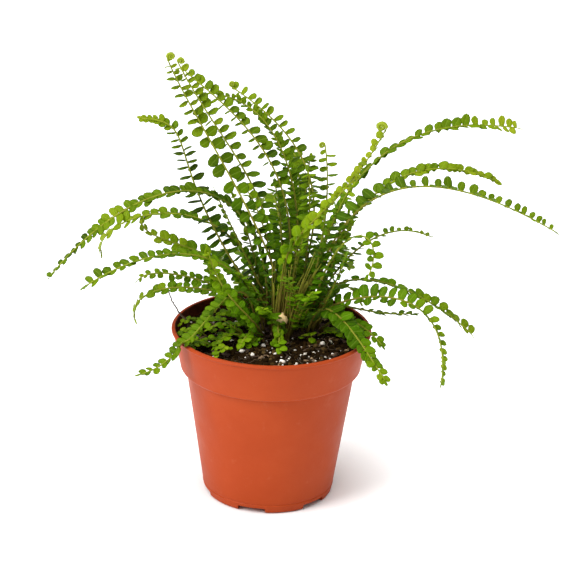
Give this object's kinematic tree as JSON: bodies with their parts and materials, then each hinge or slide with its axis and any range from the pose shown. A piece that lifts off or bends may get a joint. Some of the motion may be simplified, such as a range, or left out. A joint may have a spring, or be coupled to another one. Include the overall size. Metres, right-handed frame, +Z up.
{
  "type": "potted fern",
  "caption": "Bushy young fern with arching fronds of small round leaflets, rooted in soil in a tapered plastic nursery pot with a banded rim and a notched drainage foot.",
  "frame": {"origin": "middle of the pot's underside, on the pot's axis, in the plane it stands on", "axes": "+Z up along the pot's axis; +X to the right along the widest spread of the fronds; +Y to the back of the plant as seen from its front"},
  "size_m": [0.2618, 0.1533, 0.2433],
  "materials": {
    "pot_plastic": "moulded polypropylene in terracotta orange, satin, slightly translucent at the rim",
    "potting_mix": null,
    "rhizome": "rough, scaly, brown to olive",
    "leaf": "thin living leaf, satin upper side, light comes through; olive-brown stalk",
    "young_leaf": "thin soft new growth, lime green, light comes through",
    "dead_stalk": "dry, dark, wiry"
  },
  "bodies": {
    "root": {"pot": "pot_plastic", "soil": "potting_mix", "crown": "rhizome", "frond_tall_1": "leaf", "frond_tall_2": "leaf", "frond_tall_3": "leaf", "frond_tall_4": "leaf", "frond_tall_5": "leaf", "frond_tall_6": "leaf", "frond_left_1": "leaf", "frond_left_2": "leaf", "frond_left_3": "leaf", "frond_left_4": "leaf", "frond_left_5": "leaf", "frond_left_6": "leaf", "frond_front_left": "leaf", "frond_lime": "young_leaf", "frond_right_1": "leaf", "frond_right_2": "leaf", "frond_right_3": "leaf", "frond_right_4": "leaf", "frond_right_5": "leaf", "frond_right_6": "leaf", "frond_right_7": "leaf", "frond_right_8": "leaf", "frond_right_9": "leaf", "frond_right_10": "leaf", "frond_upright_1": "leaf", "frond_upright_2": "leaf", "frond_upright_3": "leaf", "frond_upright_4": "leaf", "frond_upright_5": "leaf", "frond_upright_6": "leaf", "frond_inner_1": "leaf", "frond_inner_2": "leaf", "frond_inner_3": "leaf", "frond_inner_4": "leaf", "frond_inner_5": "leaf", "frond_inner_6": "leaf", "frond_inner_7": "leaf", "frond_inner_8": "leaf", "frond_inner_9": "leaf", "frond_inner_10": "leaf", "frond_back_1": "leaf", "frond_back_2": "leaf", "frond_back_3": "leaf", "frond_back_4": "leaf", "frond_back_5": "leaf", "frond_back_6": "leaf", "frond_back_7": "leaf", "frond_young_1": "young_leaf", "frond_young_2": "young_leaf", "frond_young_3": "young_leaf", "frond_young_4": "young_leaf", "frond_young_5": "young_leaf", "frond_young_6": "young_leaf", "frond_young_7": "young_leaf", "stalk_bare": "dead_stalk"}
  },
  "joints": []
}
